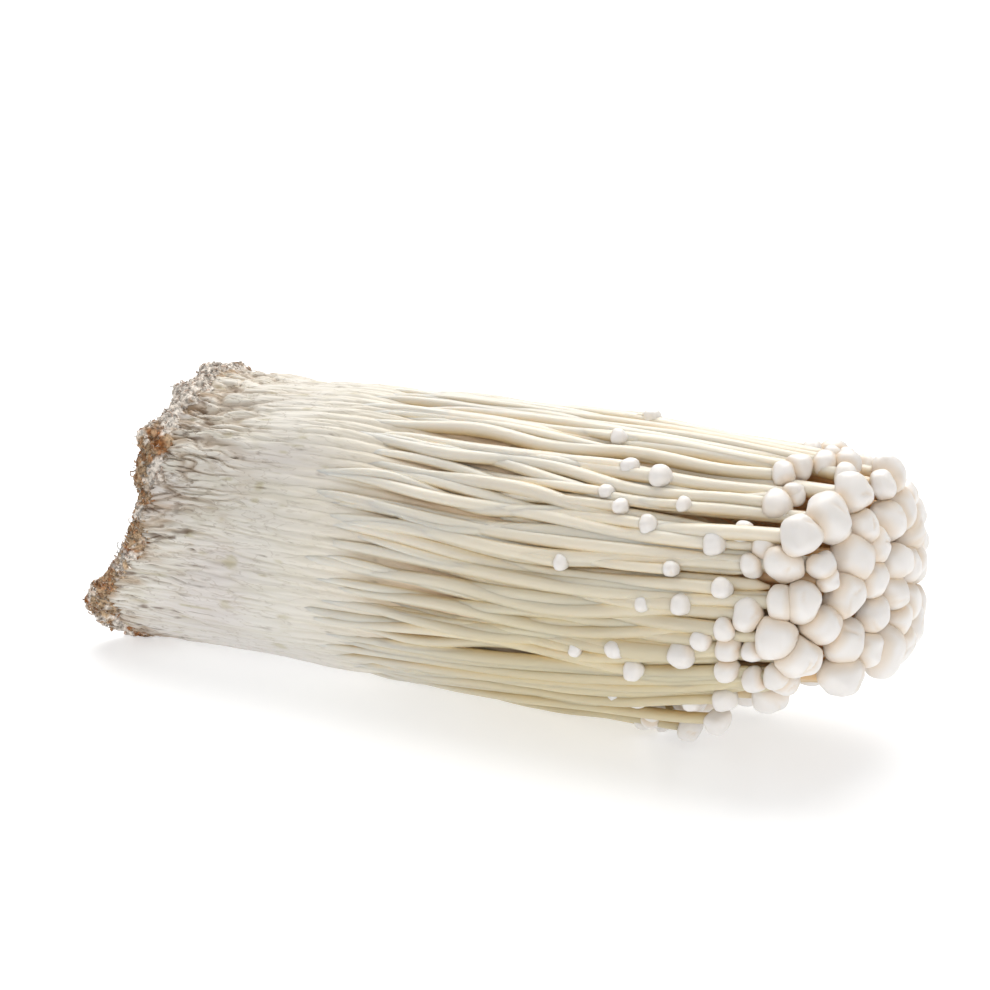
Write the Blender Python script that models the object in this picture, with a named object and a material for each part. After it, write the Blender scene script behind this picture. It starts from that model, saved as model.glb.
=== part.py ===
"""A bunch of enoki mushrooms lying on its side, as cut from its growing block.

Two bodies: the bunch itself, whose stems are grown together at the root end, and the
crumbly crust of growing medium that still clings to the cut. The bunch lies along +X
from the root end to the caps, stands on z = 0, and its best side faces -Y.
Sizes are in millimetres and are turned into metres where a mesh is made.
"""

import math
import random

import bmesh
import bpy
import numpy as np
from mathutils import Vector, noise

MM = 0.001
SEED = 11

# Outline of the bunch: along, half width, half height, middle across, middle height
STATIONS = (
    (0, 22.0, 24.8, 0.0, 24.8),
    (16, 24.0, 25.9, 0.0, 25.1),
    (35, 24.5, 26.1, 0.0, 25.2),
    (60, 25.0, 26.6, 0.0, 25.9),
    (90, 26.0, 27.0, -1.0, 26.6),
    (120, 26.0, 26.8, -1.5, 26.7),
    (140, 25.0, 25.6, -1.0, 27.0),
    (155, 22.0, 22.5, 0.0, 28.0),
)
BLUR = 8.0                 # how far the outline is averaged along, so that it has no kinks
BLUR_SAMPLES = 5
ORIGIN_ALONG = 76.0        # the middle of the length, where the part's origin lies
ORIGIN_ACROSS = -1.5
FLOOR = 0.0
CLEAR_OF_FLOOR = 0.25      # height that mushrooms and crust are made to keep
PRESSED_BELOW = 0.5        # what of the bunch is lower than this is pressed flat on the floor

# The cut root end and its crust
CUT_ALONG = 14.6           # where the cut lies, apart from its heel
# The heel at the low front corner: height, and how far it sticks out beyond the cut
HEEL = (
    (0.0, 11.0), (2.4, 13.0), (5.0, 14.9), (8.5, 14.3), (12.0, 11.8), (16.0, 7.6),
    (20.0, 4.2), (25.0, 1.4), (30.0, 0.0), (40.0, -0.2), (52.0, -0.8),
)
HEEL_FADE = 5.0            # how softly it ends towards the back
END_SHARES = (0.5, 1.0)    # rings across the cut
CRUST_THICKNESS = 4.6
CRUST_THINNER = 0.25       # by this share at its rim
CRUST_LUMPS = 1.1
LUMP_SPACING = 6.0
LUMP_SEED = 4.0
LUMP_PART = 1.6            # how much the broad lumps count against the fine ones
FINE_SPACING = 2.6
FINE_SEED = 9.0
CRUST_GAP = 0.3
CRUST_RIM_BULGE = 0.45
RAGGED = 1.6               # how uneven that bulge is
RAGGED_SPACING = 3.0
CRUST_RIM_DEPTHS = (0.25, 0.7)
CRUST_FACE_SHARES = (1.0, 0.78, 0.56, 0.34, 0.14)

# The grown-together base and the hidden core that it runs into
OUTER_STEMS = 40           # one ridge of the base runs out into each
RIDGE_DEPTH = 0.55
FIRST_CLOCK = -17.0        # clock angle of the first of them
SWELL = 1.1                # broad swellings of the base
SWELL_LENGTH = 22.0
SWELLS_AROUND = 3.1
RIDGE_LEAST = 0.6          # how deep the ridges are where nothing swells
BASE_RINGS = (30.0, 44.0, 53.0, 61.0, 68.0)
CUT_FOLLOW = 0.8           # the first rings follow the cut by this share
CUT_FADE = (26.0, 52.0)    # and give it up between these
WANDER = 2.4               # degrees
WANDER_LENGTH = 17.0
WANDER_TURN = 2.2
GROOVE_FULL_END = 44.0     # where the grooves between the stems start to deepen
GROOVE_TIP = 70.0
RIDGE_FULL_END = 50.0      # where the ridges start to give way to free stems
RIDGE_TIP = 80.0
CORE_SHARE = 0.85          # size of the core against the outline, under the free stems
CORE_START = 58.0
CORE_FULL_END = 116.0
CORE_TIP = 136.0
CORE_RINGS = (58.0, 82.0, 104.0, 116.0, 127.0, 133.0)
CORE_SIDES = 22
LEAN_BELOW = 19.5          # mushrooms whose caps are lower than this are shorter
LEAN = 0.45                # by this much for each square millimetre below it
LEAN_MOST = 31.0

# The domed face that the caps make
FACE_ALONG = 153.0
FACE_DROP_ACROSS = 7.0
FACE_HALF_WIDTH = 24.0     # where it has dropped back by that much
FACE_DROP_UP = 2.8
FACE_DROP_FROM = 30.0      # the height from which it also drops back upwards
FACE_DROP_RISE = 18.0      # and how much higher it has dropped back by that much

# Caps on the face: across, height, cap width
FACE_CAPS = (
    (-14.5, 45.0, 7.1), (-8.0, 48.0, 6.2), (1.0, 47.5, 4.6), (1.0, 41.5, 6.4),
    (12.0, 43.0, 4.6), (18.0, 33.5, 6.2), (-20.5, 43.5, 6.2), (-10.5, 38.0, 7.4),
    (-18.0, 38.5, 4.4), (-21.6, 33.0, 6.2), (-13.0, 32.8, 6.8), (-17.3, 36.0, 3.6),
    (2.5, 34.0, 6.4), (-5.5, 27.5, 5.8), (8.0, 25.5, 6.4), (-21.7, 24.0, 7.0),
    (-13.0, 24.7, 6.9), (-1.0, 20.0, 7.8), (-8.0, 17.0, 5.0),
)
# Caps of the outermost mushrooms: along, clock angle from the top towards -Y, cap width
RIM_CAPS = (
    (136.5, 20, 4.0), (138.5, 36, 4.9), (134.5, 51, 3.6), (139.0, 55, 4.4),
    (137.3, 63, 4.0), (143.5, 61, 6.2), (144.0, 76, 5.8), (138.5, 82, 5.0),
    (144.0, 90, 7.0), (135.0, 96, 4.5), (139.0, 97, 3.6), (134.5, 106, 4.0),
    (139.0, 110, 4.2), (142.7, 107, 4.2), (133.0, 121, 4.2), (130.0, 136, 4.2),
    (122.5, 150, 4.2), (144.0, -2, 4.6), (140.0, -8, 3.6), (135.0, -14, 3.4),
    (141.0, 4, 4.2), (138.0, 12, 4.4),
)
# Short mushrooms lying on the outside: along, clock angle, cap width
PIN_CAPS = (
    (110.0, 31, 2.8), (116.5, 34, 3.5), (108.0, 44, 2.5), (111.5, 49, 2.6),
    (117.5, 54, 2.8), (122.5, 44, 2.3), (130.0, 57, 3.6), (123.5, 69, 2.5),
    (103.0, 73, 2.5), (133.0, 73, 3.3), (126.0, 81, 3.2), (119.0, 83, 2.4),
    (134.0, 88, 3.4), (130.0, 93, 3.2), (126.5, 100, 4.3), (114.0, 102, 3.2),
    (117.0, 110, 3.2), (106.0, 105, 2.3),
)

# What isn't listed follows these rules: the hidden side, the underside and the back
HIDDEN_FROM = 156.0
HIDDEN_TO = 338.0
PINS_FROM = 212.0          # none on the underside, where the bunch's weight lies
PINS_TO = 378.0
PIN_STEP = 27.0
PIN_PLACES = (100.0, 124.0)
PIN_WIDTHS = (2.4, 3.6)
PIN_CLOCK_STRAY = 4.0
RIM_SPOT_ALONG = 140.0     # where a hidden cap's height is read to see how short it is
RIM_SHORTER = (1.0, 12.0)
RIM_WIDTHS = (3.8, 6.4)
RIM_CLOCK_STRAY = 2.0
FACE_TRIES = 1500
FACE_ROOM = 0.30           # room to the next cap, against the cap's width
FACE_ACROSS = (-22.0, 22.0)
FACE_HEIGHTS = (7.0, 50.0)
FACE_WIDTHS = (5.4, 7.4)
# The ellipse that their middles keep inside: half width, half height, middle, share
FACE_ELLIPSE = (23.0, 23.5, 27.5, 0.92)

STEM_RADIUS = 1.45
STEM_SIDES = 5
CAP_SIDES = 6
CAP_HEIGHT = 0.82          # a cap's height against its width
# A cap's rings: share of its height, share of its half width
CAP_UNDER = (0.06, 0.86)
CAP_WIDEST = (0.36, 1.0)
CAP_SHOULDER = (0.78, 0.72)
CAP_TOP = 0.5              # its top clears the floor as a ring of this share would
NECK_SHARE = 0.95          # the neck against the stem
NECK_MOST = 0.7            # and at most this share of the cap's half width
SMALL_CAP = 5.0            # up to this width the underside is a plain cone
RIM_ROOT = 48.0
RIM_ROOT_SHARE = 0.88
PIN_LENGTH = 7.0           # the length of a short mushroom's stem that shows
PIN_ROOT_SHARE = 0.93
PIN_SHARE = 0.985
FACE_ROOT = 108.0
FACE_ROOT_SHARE = 0.78
RIM_SHARE = 0.95
RIM_STOPS = (0.2, 0.6)
RIM_SLIMNESS = (0.9, 1.12) # stem radii against the usual one, drawn at random
RIM_STEM_MOST = 0.42       # and at most this share of the cap's width
FACE_SLIMNESS = (0.95, 1.15)
# How far the neck lies behind the cap's listed place, against the cap's width
NECK_BEHIND = 0.5
PIN_NECK_BEHIND = 0.4
PIN_STEM_SHARE = 0.36      # a short mushroom's stem radius against its cap's width
RIM_TILT = 0.18            # how far caps turn outwards from their stems
PIN_TILT = 0.15
FACE_TILT = 0.22
STRAY = 0.12               # and how far they stray at random

MUSHROOM_COLOUR = (0.80, 0.74, 0.62, 1.0)
MUSHROOM_ROUGHNESS = 0.55
CRUST_COLOUR = (0.33, 0.24, 0.15, 1.0)
CRUST_ROUGHNESS = 0.95
SHARP_ANGLE = 50.0


def outline(along):
    """Half width, half height, middle across and middle height of the bunch there."""
    table = np.array(STATIONS, float)
    near = along + np.linspace(-BLUR, BLUR, BLUR_SAMPLES)
    return [float(np.interp(near, table[:, 0], table[:, k]).mean()) for k in range(1, 5)]


def place(along, clock, share):
    """The point at that clock angle and share of the way out to the bunch's outline."""
    half_width, half_height, across, height = outline(along)
    turn = math.radians(clock)
    return Vector((
        along,
        across - share * half_width * math.sin(turn),
        height + share * half_height * math.cos(turn),
    ))


def clock_and_share(along, across, height):
    """The clock angle and share of a point of the cross-section there."""
    half_width, half_height, middle_across, middle_height = outline(along)
    side = (middle_across - across) / half_width
    up = (height - middle_height) / half_height
    return math.degrees(math.atan2(side, up)), math.hypot(side, up)


def lean(height):
    """How much shorter the low mushrooms are."""
    return min(LEAN_MOST, LEAN * max(0.0, LEAN_BELOW - height) ** 2)


def face_along(across, height):
    """How far along a cap lies on the domed face."""
    drop = FACE_DROP_ACROSS * (across / FACE_HALF_WIDTH) ** 2
    drop += FACE_DROP_UP * (max(0.0, height - FACE_DROP_FROM) / FACE_DROP_RISE) ** 2
    return FACE_ALONG - drop - lean(height)


def cut_along(across, height):
    """Where the cut of the root end lies, with its low front heel."""
    table = np.array(HEEL, float)
    heel = float(np.interp(height, table[:, 0], table[:, 1]))
    return CUT_ALONG - heel / (1.0 + math.exp(across / HEEL_FADE))


def step(value, start, end):
    """A smooth rise from 0 at start to 1 at end."""
    t = min(1.0, max(0.0, (value - start) / (end - start)))
    return t * t * (3.0 - 2.0 * t)


def wander(along, clock):
    """How far stems swing sideways, in degrees, alike for neighbours so that none cross."""
    turn = WANDER_TURN * math.sin(math.radians(clock))
    return WANDER * math.sin(along / WANDER_LENGTH + turn)


def to_metres(point):
    """A point of the bunch in the part's own frame."""
    return (
        (point[0] - ORIGIN_ALONG) * MM,
        (point[1] - ORIGIN_ACROSS) * MM,
        point[2] * MM,
    )


def add_object(name, points, faces, collection):
    """An object from points in millimetres, its faces turned outwards."""
    mesh = bpy.data.meshes.new(name)
    mesh.from_pydata([to_metres(p) for p in points], [], faces)
    work = bmesh.new()
    work.from_mesh(mesh)
    bmesh.ops.recalc_face_normals(work, faces=work.faces)
    bmesh.ops.triangulate(work, faces=work.faces)
    work.to_mesh(mesh)
    work.free()
    made = bpy.data.objects.new(name, mesh)
    collection.objects.link(made)
    return made


def skin(rings, first_point=None, last_point=None):
    """Points and faces of a body from rings of equal length, its ends closed."""
    sides = len(rings[0])
    points = [p for ring in rings for p in ring]
    faces = []
    for r in range(len(rings) - 1):
        for k in range(sides):
            a = r * sides + k
            b = r * sides + (k + 1) % sides
            faces.append((a, b, b + sides, a + sides))
    for ring_start, tip in ((0, first_point), ((len(rings) - 1) * sides, last_point)):
        rim = [ring_start + k for k in range(sides)]
        if tip is None:
            faces.append(tuple(rim))
            continue
        points.append(tip)
        centre = len(points) - 1
        faces += [(rim[k], rim[(k + 1) % sides], centre) for k in range(sides)]
    return points, faces


def domed(along, full_end, tip):
    """Share of a rounded end: full, then closing to nothing at the tip."""
    reach = min(1.0, max(0.0, (along - full_end) / (tip - full_end)))
    return math.sqrt(1.0 - reach ** 2)


def end_ring(share):
    """A ring on the cut, at that share of the way out."""
    ring = []
    for k in range(2 * OUTER_STEMS):
        across, height = base_point(CUT_ALONG, k, share)[1:]
        ring.append(Vector((cut_along(across, height), across, height)))
    return ring


def base_point(along, k, share):
    """A point of the ridged base: even points are ridges, odd ones the grooves between."""
    clock = FIRST_CLOCK + 180.0 * k / OUTER_STEMS
    ridge = -RIDGE_DEPTH if k % 2 else RIDGE_DEPTH
    turn = math.radians(clock)
    round_about = Vector((0.0, math.sin(turn), math.cos(turn))) * SWELLS_AROUND
    swell = noise.noise(round_about + Vector((along / SWELL_LENGTH, 0.0, 0.0)))
    proud = (ridge * (RIDGE_LEAST + abs(swell)) + SWELL * swell) / outline(along)[0]
    point = place(along, clock + wander(along, clock), share * (1.0 + proud))
    point.z = max(point.z, FLOOR)
    return point


def base(collection):
    """The grown-together base, ridged by its stems and domed inside the free ones."""
    rings = [end_ring(share) for share in END_SHARES]
    for along in BASE_RINGS:
        ring = []
        for k in range(2 * OUTER_STEMS):
            if k % 2:
                share = domed(along, GROOVE_FULL_END, GROOVE_TIP)
            else:
                share = domed(along, RIDGE_FULL_END, RIDGE_TIP)
            point = base_point(along, k, share)
            near_cut = CUT_FOLLOW * (1.0 - step(along, *CUT_FADE))
            point.x += near_cut * (cut_along(point.y, point.z) - CUT_ALONG)
            ring.append(point)
        rings.append(ring)
    middle_across, middle_height = outline(CUT_ALONG)[2:]
    first = Vector((cut_along(middle_across, middle_height), middle_across, middle_height))
    last = Vector((GROOVE_TIP,) + tuple(outline(GROOVE_TIP)[2:]))
    points, faces = skin(rings, first, last)
    return add_object("mushroom_bunch", points, faces, collection)


def core(collection):
    """The packed inner stems, which the outer ones hide, as one slimmer body."""
    rings = []
    for along in CORE_RINGS:
        share = CORE_SHARE * domed(along, CORE_FULL_END, CORE_TIP)
        ring = []
        for k in range(CORE_SIDES):
            point = place(along, 360.0 * k / CORE_SIDES, share)
            point.x -= lean(point.z) * ((along - CORE_START) / (CORE_TIP - CORE_START)) ** 2
            ring.append(point)
        rings.append(ring)
    last = Vector((CORE_TIP,) + tuple(outline(CORE_TIP)[2:]))
    points, faces = skin(rings, None, last)
    return add_object("core", points, faces, collection)


def crust_thickness(across, height, share):
    """The crust's uneven thickness, less at its rim."""
    lump = noise.noise(Vector((across / LUMP_SPACING, height / LUMP_SPACING, LUMP_SEED)))
    fine = noise.noise(Vector((across / FINE_SPACING, height / FINE_SPACING, FINE_SEED)))
    thick = CRUST_THICKNESS + CRUST_LUMPS * (LUMP_PART * lump + fine)
    return thick * (1.0 - CRUST_THINNER * share ** 4)


def crust_ring(share, depth):
    """A ring of the crust: on its inner face for depth 0, on its lumpy outer face for 1."""
    ring = []
    for point in end_ring(share):
        height = max(point.z, CLEAR_OF_FLOOR)
        thick = crust_thickness(point.y, height, share) * depth
        ring.append(Vector((point.x - CRUST_GAP - thick, point.y, height)))
    return ring


def crust_rim(depth):
    """A ring of the crust's ragged edge, standing a little proud of the base."""
    middle = Vector((0.0,) + tuple(outline(CUT_ALONG)[2:]))
    ring = []
    for point in crust_ring(1.0, depth):
        ragged = noise.noise(point / RAGGED_SPACING)
        out = (point - middle) * Vector((0.0, 1.0, 1.0))
        point += out.normalized() * CRUST_RIM_BULGE * (1.0 + RAGGED * ragged)
        point.z = max(point.z, CLEAR_OF_FLOOR)
        ring.append(point)
    return ring


def root_crust(collection):
    """The crumbly crust of growing medium and mycelium on the cut."""
    rings = [crust_ring(share, 0.0) for share in END_SHARES]
    rings += [crust_rim(depth) for depth in CRUST_RIM_DEPTHS]
    rings += [crust_ring(share, 1.0) for share in CRUST_FACE_SHARES]
    across, height = outline(CUT_ALONG)[2:]
    cut = cut_along(across, height) - CRUST_GAP
    first = Vector((cut, across, height))
    last = Vector((cut - crust_thickness(across, height, 0.0), across, height))
    points, faces = skin(rings, first, last)
    return add_object("root_crust", points, faces, collection)


def lifted(centre, radius):
    """The centre, raised as far as a body of that radius needs to clear the floor."""
    raised = centre.copy()
    raised.z = max(raised.z, radius + CLEAR_OF_FLOOR)
    return raised


def ring_about(centre, direction, radius, sides, turn):
    """Points of a circle square to the direction."""
    across = direction.cross(Vector((0.0, 0.0, 1.0))).normalized()
    up = across.cross(direction).normalized()
    ring = []
    for k in range(sides):
        angle = turn + 2.0 * math.pi * k / sides
        ring.append(centre + radius * (math.cos(angle) * across + math.sin(angle) * up))
    return ring


def mushroom(name, path, tip_direction, stem_radius, cap_width, sides, draw, collection):
    """One closed mushroom: a stem along the path, then its rounded cap."""
    turn = draw.uniform(0.0, 2.0 * math.pi)
    rings = []
    for i, point in enumerate(path[:-1]):
        direction = (path[i + 1] - path[max(0, i - 1)]).normalized()
        centre = lifted(point, stem_radius)
        rings.append(ring_about(centre, direction, stem_radius, sides, turn))
    cap_radius = cap_width / 2.0
    cap_height = cap_width * CAP_HEIGHT
    neck = path[-1]
    profile = [(0.0, min(stem_radius * NECK_SHARE, cap_radius * NECK_MOST))]
    shares = (CAP_UNDER, CAP_WIDEST, CAP_SHOULDER)
    if cap_width <= SMALL_CAP:
        shares = shares[1:]
    profile += [(rise, share * cap_radius) for rise, share in shares]
    for rise, radius in profile:
        centre = lifted(neck + tip_direction * cap_height * rise, radius)
        rings.append(ring_about(centre, tip_direction, radius, sides, turn))
    apex = lifted(neck + tip_direction * cap_height, CAP_TOP * cap_radius)
    points, faces = skin(rings, None, apex)
    return add_object(name, points, faces, collection)


def stem_path(root, tip, stops):
    """A stem's points from its sunk root to its neck, following the bunch's outline.

    Root and tip are along, clock angle and share. Stops are the places of the points
    between them, from 0 to 1, and by the first the stem has come out to its tip's share.
    """
    path = []
    stops = (0.0,) + stops + (1.0,)
    for t in stops:
        along = root[0] + (tip[0] - root[0]) * t
        clock = root[1] + (tip[1] - root[1]) * t
        share = root[2] + (tip[2] - root[2]) * min(1.0, t / stops[1])
        swing = wander(along, clock) - t * wander(tip[0], tip[1])
        path.append(place(along, clock + swing, share))
    return path


def tip_direction_of(path, clock, outward, draw):
    """The way a cap faces: along its stem, turned outwards a little."""
    turn = math.radians(clock)
    out = Vector((0.0, -math.sin(turn), math.cos(turn)))
    along = (path[-1] - path[-2]).normalized()
    stray = Vector([draw.uniform(-STRAY, STRAY) for _ in range(3)])
    return (along + out * outward + stray).normalized()


def rim_caps(draw):
    """The listed outermost caps, and those of the hidden side by rule, in clock order."""
    caps = list(RIM_CAPS)
    hidden = OUTER_STEMS - len(caps)
    for i in range(hidden):
        clock = HIDDEN_FROM + (HIDDEN_TO - HIDDEN_FROM) * i / (hidden - 1)
        clock += draw.uniform(-RIM_CLOCK_STRAY, RIM_CLOCK_STRAY)
        spot = place(RIM_SPOT_ALONG, clock, RIM_SHARE)
        along = face_along(spot.y, spot.z) - draw.uniform(*RIM_SHORTER)
        caps.append((along, clock, draw.uniform(*RIM_WIDTHS)))
    return sorted(caps, key=lambda cap: cap[1])


def pin_caps(draw):
    """The listed short mushrooms, and those of the hidden side by rule."""
    caps = list(PIN_CAPS)
    clock = PINS_FROM
    while clock < PINS_TO:
        caps.append((
            draw.uniform(*PIN_PLACES),
            clock + draw.uniform(-PIN_CLOCK_STRAY, PIN_CLOCK_STRAY),
            draw.uniform(*PIN_WIDTHS),
        ))
        clock += PIN_STEP
    return caps


def face_caps(draw):
    """The listed caps of the face, and others wherever they leave room."""
    caps = list(FACE_CAPS)
    half_width, half_height, middle, most = FACE_ELLIPSE
    for _ in range(FACE_TRIES):
        across = draw.uniform(*FACE_ACROSS)
        height = draw.uniform(*FACE_HEIGHTS)
        cap = draw.uniform(*FACE_WIDTHS)
        inside = math.hypot(across / half_width, (height - middle) / half_height) < most
        room = min(math.hypot(across - c[0], height - c[1]) - c[2] / 2 for c in caps)
        if inside and room > FACE_ROOM * cap:
            caps.append((across, height, cap))
    return caps


def all_mushrooms(collection):
    """Every mushroom of the bunch as its own closed body, ready to be fused."""
    draw = random.Random(SEED)
    rims = rim_caps(draw)
    pins = pin_caps(draw)
    faces = face_caps(draw)
    for i, (along, clock, cap) in enumerate(rims):
        root = (RIM_ROOT, FIRST_CLOCK + 360.0 * i / OUTER_STEMS, RIM_ROOT_SHARE)
        path = stem_path(root, (along - NECK_BEHIND * cap, clock, RIM_SHARE), RIM_STOPS)
        facing = tip_direction_of(path, clock, RIM_TILT, draw)
        radius = min(STEM_RADIUS * draw.uniform(*RIM_SLIMNESS), RIM_STEM_MOST * cap)
        mushroom(f"rim_{i}", path, facing, radius, cap, STEM_SIDES, draw, collection)
    for i, (along, clock, cap) in enumerate(pins):
        root = (along - PIN_LENGTH, clock, PIN_ROOT_SHARE)
        path = stem_path(root, (along - PIN_NECK_BEHIND * cap, clock, PIN_SHARE), ())
        facing = tip_direction_of(path, clock, PIN_TILT, draw)
        radius = PIN_STEM_SHARE * cap
        mushroom(f"pin_{i}", path, facing, radius, cap, STEM_SIDES, draw, collection)
    for i, (across, height, cap) in enumerate(faces):
        along = face_along(across, height) - NECK_BEHIND * cap
        clock, share = clock_and_share(along, across, height)
        root = (FACE_ROOT - lean(height), clock, min(share, FACE_ROOT_SHARE))
        path = stem_path(root, (along, clock, share), ())
        facing = tip_direction_of(path, clock, FACE_TILT * share, draw)
        radius = STEM_RADIUS * draw.uniform(*FACE_SLIMNESS)
        mushroom(f"face_{i}", path, facing, radius, cap, CAP_SIDES, draw, collection)


def volume_of(faces):
    """Signed volume inside these triangles."""
    return sum(f.verts[0].co.dot(f.verts[1].co.cross(f.verts[2].co)) for f in faces) / 6.0


def keep_largest_body(mesh):
    """Drops loose scraps and fills hollows that the fusing sealed."""
    work = bmesh.new()
    work.from_mesh(mesh)
    bmesh.ops.triangulate(work, faces=work.faces)
    left = set(work.faces)
    bodies = []
    while left:
        queue = [left.pop()]
        body = list(queue)
        while queue:
            for edge in queue.pop().edges:
                for face in edge.link_faces:
                    if face in left:
                        left.remove(face)
                        queue.append(face)
                        body.append(face)
        bodies.append(body)
    bodies.sort(key=volume_of)
    scraps = [face for body in bodies[:-1] for face in body]
    bmesh.ops.delete(work, geom=scraps, context="FACES")
    work.to_mesh(mesh)
    work.free()


def fuse(body, collection):
    """Joins the collection's mushrooms to the body in one union, then removes them."""
    union = body.modifiers.new("union", "BOOLEAN")
    union.operation = "UNION"
    union.operand_type = "COLLECTION"
    union.collection = collection
    union.solver = "MANIFOLD"
    graph = bpy.context.evaluated_depsgraph_get()
    fused = bpy.data.meshes.new_from_object(body.evaluated_get(graph))
    body.modifiers.remove(union)
    body.data = fused
    for piece in list(collection.objects):
        bpy.data.objects.remove(piece)
    bpy.data.collections.remove(collection)
    keep_largest_body(fused)
    press_on_floor(fused)


def press_on_floor(mesh):
    """Flattens what all but touches the floor, so that the bunch lies still."""
    for vertex in mesh.vertices:
        if vertex.co.z < PRESSED_BELOW * MM:
            vertex.co.z = FLOOR


def finish(made, material_name, colour, roughness):
    """Gives an object its material and smooth shading."""
    material = bpy.data.materials.new(material_name)
    material.use_nodes = True
    shader = material.node_tree.nodes["Principled BSDF"]
    shader.inputs["Base Color"].default_value = colour
    shader.inputs["Roughness"].default_value = roughness
    shader.inputs["Metallic"].default_value = 0.0
    made.data.materials.clear()
    made.data.materials.append(material)
    made.data.shade_smooth()
    made.data.set_sharp_from_angle(angle=math.radians(SHARP_ANGLE))


def main():
    for old in list(bpy.data.objects):
        bpy.data.objects.remove(old)
    scene = bpy.context.scene.collection
    repeats = bpy.data.collections.new("mushrooms")
    scene.children.link(repeats)
    bunch = base(scene)
    core(repeats)
    all_mushrooms(repeats)
    fuse(bunch, repeats)
    finish(bunch, "mushroom", MUSHROOM_COLOUR, MUSHROOM_ROUGHNESS)
    crust = root_crust(scene)
    finish(crust, "crust", CRUST_COLOUR, CRUST_ROUGHNESS)


main()
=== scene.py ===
"""A bunch of enoki mushrooms on a white surface: visual model, materials, light, camera.

Sizes are in millimetres in the bunch's own frame and become metres in the part's frame
where a mesh is made. The outline, the caps and the seed are those of the solids, so that
the fine stems and caps lie where the plain ones do.
"""

import itertools
import math
import random
from types import SimpleNamespace

import bpy
import numpy as np
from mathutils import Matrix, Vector, noise


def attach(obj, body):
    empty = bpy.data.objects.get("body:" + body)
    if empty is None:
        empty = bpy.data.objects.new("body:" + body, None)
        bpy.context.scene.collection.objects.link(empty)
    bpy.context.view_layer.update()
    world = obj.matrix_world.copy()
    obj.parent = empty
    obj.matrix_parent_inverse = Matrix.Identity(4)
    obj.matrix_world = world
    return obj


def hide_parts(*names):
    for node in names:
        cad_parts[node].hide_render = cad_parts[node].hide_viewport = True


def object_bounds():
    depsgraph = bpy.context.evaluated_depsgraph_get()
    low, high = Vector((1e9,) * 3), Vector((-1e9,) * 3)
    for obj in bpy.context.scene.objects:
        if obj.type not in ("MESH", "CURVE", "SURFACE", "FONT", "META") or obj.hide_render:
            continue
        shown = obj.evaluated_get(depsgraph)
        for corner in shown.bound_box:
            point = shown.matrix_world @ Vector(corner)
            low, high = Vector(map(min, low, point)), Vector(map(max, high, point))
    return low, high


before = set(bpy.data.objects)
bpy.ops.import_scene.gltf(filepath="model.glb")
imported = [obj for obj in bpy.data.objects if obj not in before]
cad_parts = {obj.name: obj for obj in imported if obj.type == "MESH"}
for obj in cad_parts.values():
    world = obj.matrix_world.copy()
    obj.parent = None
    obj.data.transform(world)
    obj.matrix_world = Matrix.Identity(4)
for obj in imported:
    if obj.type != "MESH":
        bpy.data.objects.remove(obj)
CAD_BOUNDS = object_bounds()

MM = 0.001
SEED = 11

# Outline of the bunch: along, half width, half height, middle across, middle height
STATIONS = (
    (0, 22.0, 24.8, 0.0, 24.8),
    (16, 24.0, 25.9, 0.0, 25.1),
    (35, 24.5, 26.1, 0.0, 25.2),
    (60, 25.0, 26.6, 0.0, 25.9),
    (90, 26.0, 27.0, -1.0, 26.6),
    (120, 26.0, 26.8, -1.5, 26.7),
    (140, 25.0, 25.6, -1.0, 27.0),
    (155, 22.0, 22.5, 0.0, 28.0),
)
BLUR = 8.0
BLUR_SAMPLES = 5
ORIGIN = np.array((76.0, -1.5, 0.0))
CLEAR_OF_FLOOR = 0.25

CUT_ALONG = 14.6
# The heel at the low front corner: height, and how far it sticks out beyond the cut
HEEL = (
    (0.0, 11.0), (2.4, 13.0), (5.0, 14.9), (8.5, 14.3), (12.0, 11.8), (16.0, 7.6),
    (20.0, 4.2), (25.0, 1.4), (30.0, 0.0), (40.0, -0.2), (52.0, -0.8),
)
HEEL_FADE = 5.0
CRUST_THICKNESS = 3.4
CRUST_LUMPS = 1.43
SLEEVE_MOST = 7.5

OUTER_STEMS = 40
STEM_SPACING = 360.0 / OUTER_STEMS
FIRST_CLOCK = -17.0
SWELL = 1.1
SWELL_LENGTH = 22.0
SWELLS_AROUND = 3.1
WANDER = 2.4
WANDER_LENGTH = 17.0
WANDER_TURN = 2.2
LEAN_BELOW = 19.5
LEAN = 0.45
LEAN_MOST = 31.0

# The domed face that the caps make
FACE_ALONG = 153.0
FACE_DROP_ACROSS = 7.0
FACE_HALF_WIDTH = 24.0
FACE_DROP_UP = 2.8
FACE_DROP_FROM = 30.0
FACE_DROP_RISE = 18.0

# Caps on the face: across, height, cap width
FACE_CAPS = (
    (-14.5, 45.0, 7.1), (-8.0, 48.0, 6.2), (1.0, 47.5, 4.6), (1.0, 41.5, 6.4),
    (12.0, 43.0, 4.6), (18.0, 33.5, 6.2), (-20.5, 43.5, 6.2), (-10.5, 38.0, 7.4),
    (-18.0, 38.5, 4.4), (-21.6, 33.0, 6.2), (-13.0, 32.8, 6.8), (-17.3, 36.0, 3.6),
    (2.5, 34.0, 6.4), (-5.5, 27.5, 5.8), (8.0, 25.5, 6.4), (-21.7, 24.0, 7.0),
    (-13.0, 24.7, 6.9), (-1.0, 20.0, 7.8), (-8.0, 17.0, 5.0),
)
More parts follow.
